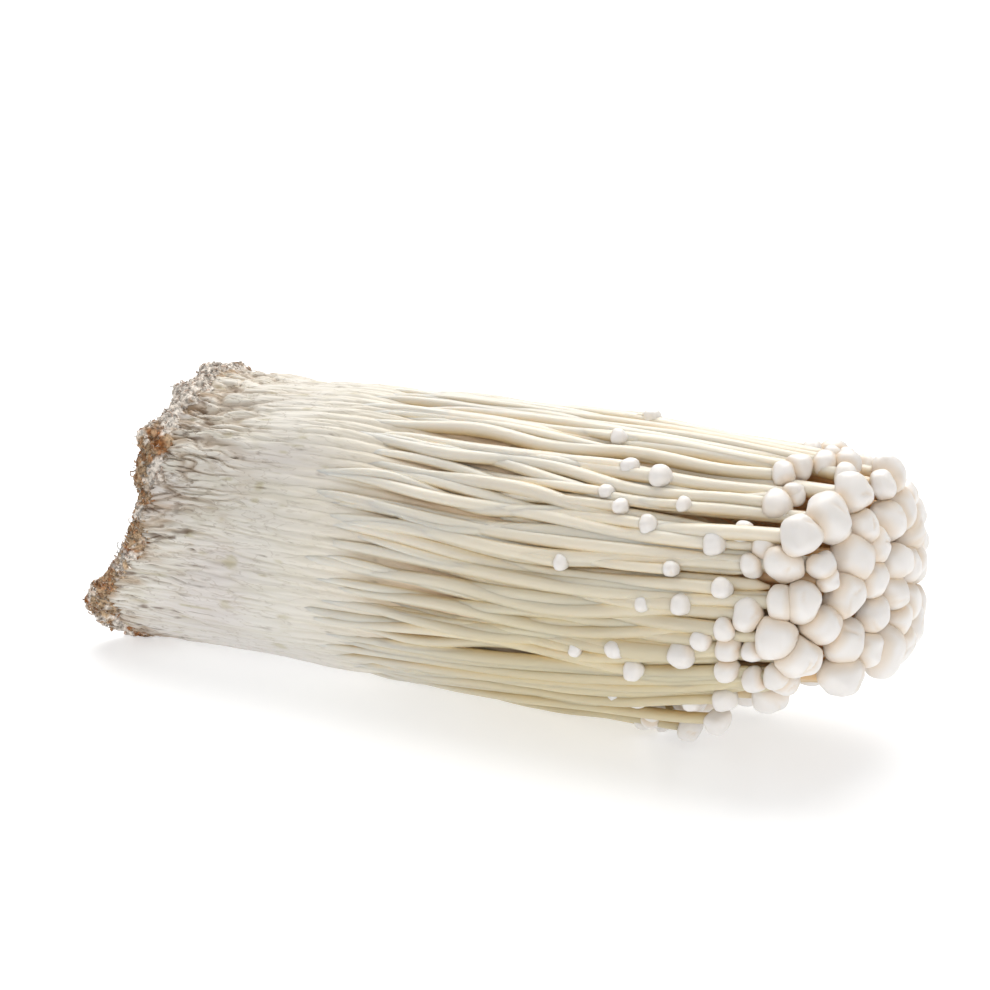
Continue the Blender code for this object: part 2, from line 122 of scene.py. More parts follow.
# Caps of the outermost mushrooms: along, clock angle from the top towards -Y, cap width
RIM_CAPS = (
    (136.5, 20, 4.0), (138.5, 36, 4.9), (134.5, 51, 3.6), (139.0, 55, 4.4),
    (137.3, 63, 4.0), (143.5, 61, 6.2), (144.0, 76, 5.8), (138.5, 82, 5.0),
    (144.0, 90, 7.0), (135.0, 96, 4.5), (139.0, 97, 3.6), (134.5, 106, 4.0),
    (139.0, 110, 4.2), (142.7, 107, 4.2), (133.0, 121, 4.2), (130.0, 136, 4.2),
    (122.5, 150, 4.2), (144.0, -2, 4.6), (140.0, -8, 3.6), (135.0, -14, 3.4),
    (141.0, 4, 4.2), (138.0, 12, 4.4),
)
# Short mushrooms lying on the outside: along, clock angle, cap width
PIN_CAPS = (
    (110.0, 31, 2.8), (116.5, 34, 3.5), (108.0, 44, 2.5), (111.5, 49, 2.6),
    (117.5, 54, 2.8), (122.5, 44, 2.3), (130.0, 57, 3.6), (123.5, 69, 2.5),
    (103.0, 73, 2.5), (133.0, 73, 3.3), (126.0, 81, 3.2), (119.0, 83, 2.4),
    (134.0, 88, 3.4), (130.0, 93, 3.2), (126.5, 100, 4.3), (114.0, 102, 3.2),
    (117.0, 110, 3.2), (106.0, 105, 2.3),
)
# What isn't listed follows the rules of the solids
HIDDEN_FROM = 156.0
HIDDEN_TO = 338.0
PINS_FROM = 212.0
PINS_TO = 378.0
PIN_STEP = 27.0
PIN_PLACES = (100.0, 124.0)
PIN_WIDTHS = (2.4, 3.6)
PIN_CLOCK_STRAY = 4.0
RIM_SPOT_ALONG = 140.0
RIM_SHORTER = (1.0, 12.0)
RIM_WIDTHS = (3.8, 6.4)
RIM_CLOCK_STRAY = 2.0
FACE_TRIES = 1500
FACE_ROOM = 0.30
FACE_ACROSS = (-22.0, 22.0)
FACE_HEIGHTS = (7.0, 50.0)
FACE_WIDTHS = (5.4, 7.4)
# The ellipse that their middles keep inside: half width, half height, middle, share
FACE_ELLIPSE = (23.0, 23.5, 27.5, 0.92)

STEM_RADIUS = 1.45
RIM_SHARE = 0.95
RIM_TILT = 0.18
RIM_SLIMNESS = (0.9, 1.12)
RIM_STEM_MOST = 0.42
NECK_BEHIND = 0.5
PIN_SHARE = 0.985
PIN_TILT = 0.15
PIN_STEM_SHARE = 0.36
PIN_NECK_BEHIND = 0.4
FACE_SLIMNESS = (0.95, 1.15)
STRAY = 0.12

# How the fine stems run: where they leave the base, how deep they lie, how they sway
RIM_ROOT = 40.0
RIM_ROOT_SPREAD = 14.0
SLIM = 0.84
FLUSH_SHARE = 1.003
MEAN_HALF_WIDTH = 26.0
STRAND_SHARE = 0.5  # a stem starts as a strand of the base, this thin
STRAND_LENGTH = 36.0
NECK_SLIMMER = 0.10
RISE_LENGTH = 16.0  # over this length it comes out of the base
RISE_DEPTH = 0.045
SINK_BETWEEN = (56.0, 88.0)
RIM_SWAY = (0.6, 2.6)
SWAY_LENGTHS = (6.0, 13.0)
SWAY_EASE = 0.7
SWAY_OUT = 0.014
PIN_SWAY = (0.3, 1.4)
PIN_LENGTHS = (36.0, 56.0)
PIN_ROOT_LEAST = 46.0
PIN_ROOT_STRAY = 3.0
PIN_DEPTH = 0.90
FACE_SWAY = (0.3, 2.0)
FACE_ROOT_OUTER = 60.0
FACE_ROOT_INNER = 98.0
FACE_DEPTH = 0.84
FACE_OUTER = 0.6  # beyond this share a stem of the face starts further back

# More mushrooms between and behind those of the solids
FILLERS = 84
FILLER_ALONG = 140.0
FILLER_SHARE = 0.9
FILLER_WIDTHS = (3.2, 5.0)
FILLER_SHORTER = (5.0, 13.0)
FILLER_ROOT_SPREAD = 18.0
FILLER_RADII = (0.95, 1.4)
FILLER_DEEPEST = 0.05
FILLER_SWAY = (0.6, 3.2)
CROSSING = 0.7  # how many stems' spacings a root lies off to the side
HOOKED = 6  # one in so many bends at its neck
HOOKS = (4.0, 9.0)
INNER = 50
INNER_HEIGHTS = (4.0, 48.0, 11.0)
INNER_WIDTHS = (3.4, 5.4)
INNER_SHORTER = (5.5, 9.0)
INNER_RADII = (1.1, 1.4)
INNER_SHARE_MOST = 0.94
INNER_ELLIPSE = (23.0, 23.5, 26.5, 0.98)
CROWDED = 0.42  # nearer than this share of both widths, the added cap goes
STEM_FLUTES = 0.05
STEM_UNEVEN = 0.07

# Caps' widths and heights against the plain solids' widths, and how far they turn outwards
CAP_PLUMP = {"rim": 1.08, "pin": 1.14, "face": 1.16, "filler": 1.0, "inner": 1.0}
CAP_HEIGHTS = {"rim": 0.86, "pin": 0.88, "face": 0.74, "filler": 0.82, "inner": 0.8}
FACE_TURN = 0.60
LOW_CLOCKS = (152.0, 208.0)
LOW_CAP_SHARE = 0.5
CAP_ANGLES = (-84.0, 88.0)  # from the middle of the underside to the middle of the top
CAP_WIDEST = 0.38  # its rise where it is widest, and how far it reaches below that
CAP_UNDER = 0.34
CAP_SEAT = 0.16  # how deep the neck goes into it
CAP_MIDDLE = 0.42
CAP_WAVES = ((2, 0.15), (3, 0.09), (5, 0.04))
DENT_WIDTH = 0.09
DENT_LENGTHS = (0.25, 0.7)
DENT_DEPTH = 0.11
DENTED_FROM = 4.0
SQUASH_FROM = 0.62  # caps whose middles are this near meet, as a share of both widths
SQUASH_TO = 0.2
SQUASH_GAP = 0.06
SQUASH_SHARE = 0.8

# The base: between which places along, or heights, its looks change
ROOTY_BETWEEN = (20.0, 46.0)
UPPER_BETWEEN = (20.0, 40.0)
GROWING_BETWEEN = (38.0, 64.0)
NARROWS_BETWEEN = (46.0, 80.0)
NARROWER = 0.09
BASE_CLOSING = 8.0
FOLLOWS_CUT_TO = 52.0
ROWS_CROWDED = 1.35  # its rows lie closer towards the cut
FOLD_DEPTH = 0.8
SLITS = 300
SLIT_SPREAD = 6.0
SLIT_LENGTHS = (1.2, 5.0)
SLIT_WIDTHS = (0.25, 0.5)
SLIT_SLOPES = (-0.5, 0.5)
SLIT_DEPTH = 0.6

# The core behind the stems
CORE_START = 84.0
CORE_SHARE = 0.90
CORE_THINS_BETWEEN = (92.0, 122.0)
CORE_CLOSES_FROM = 106.0
CORE_SPACING = 6.0
CORE_LOW_BACK = 22.0

# The crust: rows on its rim and its face, where its sleeve ends, the heights of its top
CRUST_RIM_ROWS = 26
CRUST_FACE_ROWS = 50
CRUST_FACE_SPAN = (1.02, 1.97)
SLEEVE_ROWS = 0.35
CRUST_TOP = (40.0, 47.0)
CRUMB_MOST = 0.7
CRUMB_SPREAD = 0.18
STRAW_RADII = (0.10, 0.22)
THREAD_RADII = (0.05, 0.11)

# How finely the pieces are made
STEM_RINGS = 40
ALONG_STEM = np.linspace(0.0, 1.0, STEM_RINGS)
STEM_SIDES = 10
FACE_CAP_MESH = (26, 40)
SIDE_CAP_MESH = (14, 24)
BASE_AROUND = 900
BASE_ALONG = 108
BASE_END = 100.0
CORE_AROUND = 240
CORE_ALONG = 40
CORE_END = 133.0
CRUST_AROUND = 440
CRUMBS = 3000
FIBRES = 3000
CRUMB_MESH = (4, 6)
FIBRE_RINGS = 6
FIBRE_SIDES = 3

# Colours of the flesh and the crust in linear light, some of them painted shade and painted
# light
STEM_COLOUR = np.array((0.82, 0.765, 0.655))
# Painted shade: the darker, warmer tone of stem flanks that face into the bunch
STEM_FLANK_SHADE = np.array((0.67, 0.505, 0.25))
# More olive stem colour low down, and darker: partly the stems' own tone, partly painted shade
# where less light reaches
STEM_LOW_COLOUR = np.array((0.67, 0.585, 0.39))
CAP_COLOUR = np.array((0.885, 0.855, 0.825))
# Painted shade on caps: their undersides, where they meet other caps, and in their dents
CAP_SHADE_COLOUR = np.array((0.76, 0.62, 0.46))
BASE_COLOUR = np.array((0.74, 0.71, 0.645))
# Painted light: the whiter base low down, where the floor lights it
BASE_FLOOR_LIT_COLOUR = np.array((0.80, 0.78, 0.73))
MAUVE = np.array((0.70, 0.65, 0.64))
OLIVE = np.array((0.46, 0.41, 0.22))
# Painted shade: the warm orange-brown of the gaps deep in the bunch
GAP_SHADE_COLOUR = np.array((0.86, 0.54, 0.26))
SOIL = np.array((0.12, 0.065, 0.03))
TAN = np.array((0.46, 0.33, 0.21))
RUST = np.array((0.34, 0.14, 0.05))
MYCELIUM = np.array((0.78, 0.73, 0.67))

LATTICE = np.random.default_rng(SEED).uniform(-1.0, 1.0, (32, 32, 32))


def grain(points, cell, shift=0.0):
    """Smooth random values from -1 to 1 that are alike within about one cell."""
    spot = points / np.asarray(cell, float) + shift
    low = np.floor(spot).astype(int)
    part = spot - low
    part = part * part * (3.0 - 2.0 * part)
    value = 0.0
    for corner in itertools.product((0, 1), repeat=3):
        weight = np.prod(np.where(corner, part, 1.0 - part), axis=-1)
        index = (low + corner) % 32
        value = value + weight * LATTICE[index[..., 0], index[..., 1], index[..., 2]]
    return value


def crease(points, cell, shift, width):
    """Thin wandering lines, 1 on the line and 0 away from it."""
    return np.exp(-(grain(points, cell, shift) / width) ** 2)


def step(value, start, end):
    """A smooth rise from 0 at start to 1 at end."""
    t = np.clip((value - start) / (end - start), 0.0, 1.0)
    return t * t * (3.0 - 2.0 * t)


def blend(a, b, share):
    """From colour a to colour b by that share, for many points at once."""
    return a + (b - a) * np.asarray(share)[..., None]


def unit(vectors):
    """The vectors, made one long."""
    return vectors / np.linalg.norm(vectors, axis=-1, keepdims=True)


def three(draw, low, high):
    """Three draws from that range."""
    return np.array([draw.uniform(low, high) for _ in range(3)])


def outwards(clock):
    """The direction out of the bunch at that clock angle."""
    turn = math.radians(clock)
    return np.array((0.0, -math.sin(turn), math.cos(turn)))


def outline(along):
    """Half width, half height, middle across and middle height of the bunch there."""
    table = np.array(STATIONS, float)
    near = np.asarray(along, float)[..., None] + np.linspace(-BLUR, BLUR, BLUR_SAMPLES)
    return [np.interp(near, table[:, 0], table[:, k]).mean(axis=-1) for k in range(1, 5)]


def place(along, clock, share):
    """Points at those clock angles and shares of the way out to the bunch's outline."""
    along, clock, share = np.broadcast_arrays(
        np.asarray(along, float), np.asarray(clock, float), np.asarray(share, float))
    half_width, half_height, across, height = outline(along)
    turn = np.radians(clock)
    return np.stack([
        along,
        across - share * half_width * np.sin(turn),
        height + share * half_height * np.cos(turn),
    ], axis=-1)


def clock_and_share(points):
    """The clock angles at which points lie, and their shares of the way to the outline."""
    half_width, half_height, across, height = outline(points[..., 0])
    side = (across - points[..., 1]) / half_width
    up = (points[..., 2] - height) / half_height
    return np.degrees(np.arctan2(side, up)), np.hypot(side, up)


def lean(height):
    """How much shorter the low mushrooms are."""
    return np.minimum(LEAN_MOST, LEAN * np.maximum(0.0, LEAN_BELOW - height) ** 2)


def face_along(across, height):
    """How far along a cap lies on the domed face."""
    drop = FACE_DROP_ACROSS * (across / FACE_HALF_WIDTH) ** 2
    drop += FACE_DROP_UP * (max(0.0, height - FACE_DROP_FROM) / FACE_DROP_RISE) ** 2
    return FACE_ALONG - drop - float(lean(height))


def cut_along(across, height):
    """Where the cut of the root end lies, with its low front heel."""
    table = np.array(HEEL, float)
    heel = np.interp(height, table[:, 0], table[:, 1])
    return CUT_ALONG - heel / (1.0 + np.exp(across / HEEL_FADE))


def wander(along, clock):
    """How far stems swing sideways, in degrees, alike for neighbours."""
    turn = WANDER_TURN * np.sin(np.radians(clock))
    return WANDER * np.sin(np.asarray(along) / WANDER_LENGTH + turn)


def domed(along, full_end, tip):
    """Share of a rounded end: full, then closing to nothing at the tip."""
    reach = np.clip((along - full_end) / (tip - full_end), 0.0, 1.0)
    return np.sqrt(1.0 - reach ** 2)


def add_object(name, data):
    """An object of the scene with that mesh, lamp or camera."""
    made = bpy.data.objects.new(name, data)
    bpy.context.scene.collection.objects.link(made)
    return made


def add_piece(name, node, material, points, faces, colours, lined=1.0):
    """An object from points and faces, with a colour on each point.

    Lined says how strongly the material draws its crease lines at each point, if it has any.
    """
    mesh = bpy.data.meshes.new(name)
    points = (np.reshape(points, (-1, 3)) - ORIGIN) * MM
    points = np.clip(points, *np.array(CAD_BOUNDS))
    mesh.from_pydata(points.tolist(), [], faces)
    layer = mesh.color_attributes.new("tone", "FLOAT_COLOR", "POINT")
    full = np.ones((len(points), 4))
    full[:, :3] = np.clip(np.reshape(colours, (-1, 3)), 0.0, 1.0)
    full[:, 3] = np.ravel(lined)
    layer.data.foreach_set("color", full.ravel())
    mesh.materials.append(material)
    mesh.shade_smooth()
    made = add_object(name, mesh)
    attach(made, "root")
    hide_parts(node)


class Batch:
    """Many small bodies gathered into one mesh."""

    def __init__(self):
        self.points = []
        self.faces = []
        self.colours = []
        self.count = 0

    def add(self, points, faces, colours):
        points = np.reshape(points, (-1, 3))
        self.points.append(points)
        self.colours.append(np.broadcast_to(np.reshape(colours, (-1, 3)), points.shape))
        self.faces += [tuple(k + self.count for k in face) for face in faces]
        self.count += len(points)

    def make(self, name, node, slot, material):
        add_piece(name, node, material, np.concatenate(self.points), self.faces,
                  np.concatenate(self.colours))


def tube_faces(rings, sides):
    """Faces of a skin over rings of points, with one over each end."""
    faces = []
    for r in range(rings - 1):
        for k in range(sides):
            a = r * sides + k
            b = r * sides + (k + 1) % sides
            faces.append((a, b, b + sides, a + sides))
    faces.append(tuple(reversed(range(sides))))
    faces.append(tuple(range((rings - 1) * sides, rings * sides)))
    return faces


def spokes(along, angles):
    """Unit vectors at those angles around the unit vectors along."""
    across = unit(np.cross(along, (0.0, 0.0, 1.0)))
    up = np.cross(across, along)
    return (np.cos(angles)[:, None] * across[..., None, :]
            + np.sin(angles)[:, None] * up[..., None, :])


def tube(path, radii, sides, lobes=0.0, turn=0.0):
    """Points of a round body along the path, with slight flutes."""
    angles = turn + 2.0 * np.pi * np.arange(sides) / sides
    reach = np.asarray(radii)[:, None] * (1.0 + lobes * np.cos(3.0 * angles + turn))
    return path[:, None] + reach[..., None] * spokes(unit(np.gradient(path, axis=0)), angles)


def rows_around(rows, around, first=0.0):
    """For a skin around the bunch, each point's value of rows and its clock angle."""
    clocks = first + 360.0 * np.arange(around) / around
    return np.meshgrid(rows, clocks, indexing="ij")


# The plan: which mushrooms there are, as in the solids

def rim_caps(draw):
    """The listed outermost caps, and those of the hidden side by rule, in clock order."""
    caps = list(RIM_CAPS)
    hidden = OUTER_STEMS - len(caps)
    for i in range(hidden):
        clock = HIDDEN_FROM + (HIDDEN_TO - HIDDEN_FROM) * i / (hidden - 1)
        clock += draw.uniform(-RIM_CLOCK_STRAY, RIM_CLOCK_STRAY)
        spot = place(RIM_SPOT_ALONG, clock, RIM_SHARE)
        along = face_along(spot[1], spot[2]) - draw.uniform(*RIM_SHORTER)
        caps.append((along, clock, draw.uniform(*RIM_WIDTHS)))
    return sorted(caps, key=lambda cap: cap[1])


def pin_caps(draw):
    """The listed short mushrooms, and those of the hidden side by rule."""
    caps = list(PIN_CAPS)
    clock = PINS_FROM
    while clock < PINS_TO:
        caps.append((
            draw.uniform(*PIN_PLACES),
            clock + draw.uniform(-PIN_CLOCK_STRAY, PIN_CLOCK_STRAY),
            draw.uniform(*PIN_WIDTHS),
        ))
        clock += PIN_STEP
    return caps


def within(ellipse, across, height):
    """Whether a point of the face lies inside the ellipse."""
    half_width, half_height, middle, most = ellipse
    return math.hypot(across / half_width, (height - middle) / half_height) < most


def room_beside(across, height, caps):
    """The distance from there to the nearest cap's edge."""
    return min(math.hypot(across - c[0], height - c[1]) - c[2] / 2 for c in caps)


def face_caps(draw):
    """The listed caps of the face, and others wherever they leave room."""
    caps = list(FACE_CAPS)
    for _ in range(FACE_TRIES):
        across = draw.uniform(*FACE_ACROSS)
        height = draw.uniform(*FACE_HEIGHTS)
        cap = draw.uniform(*FACE_WIDTHS)
        room = room_beside(across, height, caps)
        if within(FACE_ELLIPSE, across, height) and room > FACE_ROOM * cap:
            caps.append((across, height, cap))
    return caps


class Mushroom:
    """One mushroom: its stem's line and radii, its cap's width, and the way that faces."""

    def __init__(self, kind, line, radii, cap, clock, outward, stray):
        self.kind = kind
        self.line = line
        self.radii = radii
        self.cap = cap
        self.facing = unit(unit(line[-1] - line[-6]) + outward * outwards(clock) + stray)


def stem_line(root, tip, share, draw, sway):
    """Points from root to neck at those shares; sway is the stem's own waviness, degrees."""
    along = root[0] + (tip[0] - root[0]) * ALONG_STEM
    clock = root[1] + (tip[1] - root[1]) * ALONG_STEM
    clock = clock + wander(along, clock) - ALONG_STEM * wander(tip[0], tip[1])
    phase = draw.uniform(0.0, 2.0 * math.pi)
    length = draw.uniform(*SWAY_LENGTHS)
    ease = np.sin(np.pi * ALONG_STEM) ** SWAY_EASE
    clock = clock + sway * ease * np.sin(along / length + phase)
    share = share + SWAY_OUT * ease * np.sin(along / (0.8 * length) + 2.0 * phase)
    return place(along, clock, share)


def widening(start, end, radius):
    """Radii of a stem that starts as a fine strand of the base and widens along its way."""
    along = start + (end - start) * ALONG_STEM
    grown = step(along, start - 2.0, start + STRAND_LENGTH)
    thin = STRAND_SHARE + (1.0 - STRAND_SHARE) * grown
    return radius * thin * (1.0 - NECK_SLIMMER * step(ALONG_STEM, 0.7, 1.0))


def flush(radii, start, end, sunk):
    """Shares at which stems lie just inside the outline, once they have left the base."""
    along = start + (end - start) * ALONG_STEM
    rising = 1.0 - step(along, start, start + RISE_LENGTH)
    sinking = sunk * step(along, *SINK_BETWEEN)
    return FLUSH_SHARE - radii / MEAN_HALF_WIDTH - RISE_DEPTH * rising - sinking


def skip_turn(draw):
    """The draw by which the solids turn a stem, kept so that the next ones stay theirs."""
    draw.uniform(0.0, 1.0)


def rim_mushrooms(rims, draw, own):
    """The outermost mushrooms."""
    made = []
    for i, (along, clock, cap) in enumerate(rims):
        tip = along - NECK_BEHIND * cap
        stray = three(draw, -STRAY, STRAY)
        radius = min(STEM_RADIUS * draw.uniform(*RIM_SLIMNESS), RIM_STEM_MOST * cap)
        skip_turn(draw)
        start = RIM_ROOT + own.uniform(0.0, RIM_ROOT_SPREAD)
        radii = widening(start, tip, SLIM * radius)
        share = flush(radii, start, tip, 0.0)
        share += (RIM_SHARE - share[-1]) * step(ALONG_STEM, 0.5, 1.0)
        line = stem_line((start, FIRST_CLOCK + STEM_SPACING * i), (tip, clock), share,
                         own, own.uniform(*RIM_SWAY))
        if LOW_CLOCKS[0] < clock < LOW_CLOCKS[1]:
            cap *= LOW_CAP_SHARE
        made.append(Mushroom("rim", line, radii, cap, clock, RIM_TILT, stray))
    return made


def pin_mushrooms(pins, draw, own):
    """The short mushrooms."""
    made = []
    for along, clock, cap in pins:
        tip = along - PIN_NECK_BEHIND * cap
        stray = three(draw, -STRAY, STRAY)
        skip_turn(draw)
        start = max(PIN_ROOT_LEAST, tip - own.uniform(*PIN_LENGTHS))
        radii = PIN_STEM_SHARE * cap * (0.7 + 0.3 * step(ALONG_STEM, 0.0, 0.6))
        share = PIN_DEPTH + (PIN_SHARE - PIN_DEPTH) * step(ALONG_STEM, 0.35, 1.0)
        root = clock + own.uniform(-PIN_ROOT_STRAY, PIN_ROOT_STRAY)
        line = stem_line((start, root), (tip, clock), share, own, own.uniform(*PIN_SWAY))
        made.append(Mushroom("pin", line, radii, cap, clock, PIN_TILT, stray))
    return made


def face_mushrooms(faces, draw, own):
    """The mushrooms whose caps make the face."""
    made = []
    for across, height, cap in faces:
        tip = face_along(across, height) - NECK_BEHIND * cap
        clock, share = clock_and_share(np.array((tip, across, height)))
        stray = three(draw, -STRAY, STRAY)
        slimness = draw.uniform(*FACE_SLIMNESS)
        skip_turn(draw)
        radii = STEM_RADIUS * slimness * (1.0 - NECK_SLIMMER * ALONG_STEM)
        start = FACE_ROOT_INNER - float(lean(height))
        if share > FACE_OUTER:
            start = FACE_ROOT_OUTER
        deep = min(share, FACE_DEPTH)
        shares = deep + (share - deep) * step(ALONG_STEM, 0.4, 1.0)
        line = stem_line((start, clock), (tip, clock), shares, own, own.uniform(*FACE_SWAY))
        made.append(Mushroom("face", line, radii, cap, clock, FACE_TURN * share, stray))
    return made


def drop_crowded(added, mushrooms):
    """Added mushrooms whose cap would stick in another's end in a point instead."""
    necks = np.array([m.line[-1] for m in mushrooms])
    caps = np.array([m.cap for m in mushrooms])
    for mushroom in added:
        apart = np.linalg.norm(necks - mushroom.line[-1], axis=-1)
        if (apart < CROWDED * (caps + mushroom.cap)).any():
            mushroom.cap = 0.0
            mushroom.radii = mushroom.radii * domed(np.arange(STEM_RINGS), STEM_RINGS - 3,
                                                    STEM_RINGS - 0.9)


def plan():
    """All mushrooms: those of the solids, then more that fill in between and behind."""
    draw = random.Random(SEED)
    own = random.Random(SEED + 1)
    rims = rim_caps(draw)
    pins = pin_caps(draw)
    faces = face_caps(draw)
    made = rim_mushrooms(rims, draw, own)
    made += pin_mushrooms(pins, draw, own)
    made += face_mushrooms(faces, draw, own)
    added = fillers(rims, own) + inner(faces, own)
    drop_crowded(added, made)
    return made + added


def fillers(rims, own):
    """Mushrooms between and behind the outermost ones, some crossing their neighbours."""
    made = []
    clocks = np.array([cap[1] for cap in rims])
    clocks = np.append(clocks, clocks[0] + 360.0)
    for i in range(FILLERS):
        number = OUTER_STEMS * (i + 0.5) / FILLERS + own.uniform(-0.2, 0.2)
        clock = float(np.interp(number, np.arange(OUTER_STEMS + 1), clocks))
        root = FIRST_CLOCK + STEM_SPACING * (number + own.uniform(-CROSSING, CROSSING))
        spot = place(FILLER_ALONG, clock, FILLER_SHARE)
        cap = own.uniform(*FILLER_WIDTHS)
        tip = face_along(spot[1], spot[2]) - own.uniform(*FILLER_SHORTER)
        stray = three(own, -STRAY, STRAY)
        start = RIM_ROOT + own.uniform(0.0, FILLER_ROOT_SPREAD)
        radii = widening(start, tip, own.uniform(*FILLER_RADII))
        share = flush(radii, start, tip, own.uniform(0.0, FILLER_DEEPEST))
        share = share - 0.03 * ALONG_STEM ** 3
        hook = own.uniform(*HOOKS) * own.choice((-1.0, 1.0)) if i % HOOKED == 0 else 0.0
        line = stem_line((start, root), (tip, clock), share, own, own.uniform(*FILLER_SWAY))
        side = unit(np.cross(line[-1] - line[-4], line[-1] - (line[-1, 0], 0.0, 27.0)))
        line += (hook / 3.0 * step(ALONG_STEM, 0.84, 1.0) ** 2)[:, None] * side
        made.append(Mushroom("filler", line, radii, cap, clock, RIM_TILT, stray))
    return made


def inner(faces, own):
    """Smaller mushrooms that peep out between those of the face."""
    made = []
    while len(made) < INNER:
        across = own.uniform(*FACE_ACROSS)
        height = own.triangular(*INNER_HEIGHTS)
        cap = own.uniform(*INNER_WIDTHS)
        if not within(INNER_ELLIPSE, across, height) or room_beside(across, height, faces) < 0.0:
            continue
        tip = face_along(across, height) - own.uniform(*INNER_SHORTER)
        clock, share = clock_and_share(np.array((tip, across, height)))
        start = FACE_ROOT_INNER - float(lean(height))
        radii = own.uniform(*INNER_RADII) * np.ones(STEM_RINGS)
        line = stem_line((start, clock), (tip, clock), min(share, INNER_SHARE_MOST), own, 1.0)
        stray = three(own, -STRAY, STRAY)
        made.append(Mushroom("inner", line, radii, cap, clock, FACE_TURN * share, stray))
    return made


def lift(points):
    """The points, held clear of the floor."""
    points = points.copy()
    points[..., 2] = np.maximum(points[..., 2], CLEAR_OF_FLOOR)
    return points


def flesh_tone(points, share_out, flank_shade):
    """Colours of stems: more olive low down and darker there as painted shade, painted shade on
    the flanks that face into the bunch, and warm painted shade in the gaps.
    """
    # More olive and darker low down: partly the stems' own tone, partly painted shade
    tone = blend(STEM_COLOUR, STEM_LOW_COLOUR, step(-points[..., 2], -49.0, -12.0))
    tone = blend(tone, BASE_COLOUR, 0.95 * (1.0 - step(points[..., 0], 44.0, 98.0)))
    # Painted shade on each stem's flanks that face into the bunch
    tone = blend(tone, STEM_FLANK_SHADE, 0.85 * flank_shade)
    # Warm painted shade on stems lying deep in the bunch, near the head and above the lowest
    deep = step(-share_out, -0.93, -0.80)
    near_head = 0.5 + 0.5 * step(points[..., 0], 90.0, 130.0)
    high = step(points[..., 2], 10.0, 22.0)
    tone = blend(tone, GAP_SHADE_COLOUR, deep * near_head * high)
    streak = 1.0 + 0.04 * grain(points, (9.0, 0.7, 0.7))
    return tone * streak[..., None]


def add_stems(mushrooms, name, material, own):
    """One mesh with the stems of those mushrooms."""
    batch = Batch()
    faces = tube_faces(STEM_RINGS, STEM_SIDES)
    for mushroom in mushrooms:
        line = mushroom.line.copy()
        uneven = 1.0 + STEM_UNEVEN * grain(line, 7.0, own.uniform(0.0, 30.0))
        radii = mushroom.radii * uneven
        line[:, 2] = np.maximum(line[:, 2], radii + CLEAR_OF_FLOOR)
        points = tube(line, radii, STEM_SIDES, STEM_FLUTES, own.uniform(0.0, 6.0))
        _, shares = clock_and_share(points)
        rise = (shares - shares.mean(axis=1, keepdims=True)) * MEAN_HALF_WIDTH / radii[:, None]
        # How far each point lies on a stem's inward flank, where shade is painted
        flank_shade = step(-rise, -0.75, 0.35)
        tone = flesh_tone(points, shares, flank_shade) * own.uniform(0.91, 1.05)
        batch.add(points, faces, tone)
    batch.make(name, "mushroom_bunch", "mushroom", material)


def cap_profile(rings):
    """Rise and radius of a cap from its underside to its flattish top, as shares."""
    angle = np.radians(np.linspace(*CAP_ANGLES, rings))
    low = angle < 0.0
    top = (1.0 - CAP_WIDEST) * np.abs(np.sin(angle)) ** 0.9
    rise = CAP_WIDEST + np.where(low, CAP_UNDER * np.sin(angle), top)
    radius = np.where(low, np.cos(angle) ** 0.55, np.cos(angle) ** 0.72)
    return rise, radius


def dent(ray, along, own):
    """A short crease pressed into a cap, from 0 to 1, somewhere near its top."""
    spot = unit(along + 0.7 * three(own, -1.0, 1.0))
    line = unit(np.cross(spot, three(own, -1.0, 1.0)))
    side = np.cross(spot, line)
    curve = ray @ side - own.uniform(-0.5, 0.5) * (ray @ line) ** 2
    length = own.uniform(*DENT_LENGTHS)
    hollow = np.exp(-(curve / DENT_WIDTH) ** 2 - (ray @ line / length) ** 4)
    return hollow * (ray @ spot > 0.0)


def dents_of(mushroom, ray, own):
    """All the dents of a cap, which the larger ones have more of."""
    dents = np.zeros(ray.shape[:-1])
    counts = (0, 0, 1, 1, 2) if mushroom.cap > DENTED_FROM else (0, 0, 0, 1)
    for _ in range(own.choice(counts)):
        dents = np.maximum(dents, own.uniform(0.4, 1.0) * dent(ray, mushroom.facing, own))
    return dents


def cap_points(mushroom, mesh, own):
    """A cap's rings with dents and an uneven outline, its middle and its dents."""
    rise, radius = cap_profile(mesh[0])
    along = mushroom.facing
    width = mushroom.cap * CAP_PLUMP[mushroom.kind]
    half = width / 2.0
    height = width * CAP_HEIGHTS[mushroom.kind]
    angle = 2.0 * np.pi * np.arange(mesh[1]) / mesh[1]
    uneven = 1.0 + sum(
        own.uniform(0.0, most) * np.cos(waves * angle + own.uniform(0.0, 6.3))
        for waves, most in CAP_WAVES)
    neck = mushroom.line[-1] - CAP_SEAT * width * along
    points = (neck + rise[:, None, None] * height * along
              + radius[:, None, None] * half * uneven[:, None] * spokes(along, angle))
    middle = neck + CAP_MIDDLE * height * along
    ray = unit(points - middle)
    shift = own.uniform(0.0, 30.0)
    bump = 0.10 * grain(ray, 0.9, shift) + 0.035 * grain(ray, 0.4, shift)
    dents = dents_of(mushroom, ray, own)
    bump = bump - DENT_DEPTH * dents
    points = points + (bump * half)[..., None] * ray
    raised = np.array((0.0, 0.0, max(0.0, CLEAR_OF_FLOOR - points[..., 2].min())))
    return points + raised, middle + raised, dents


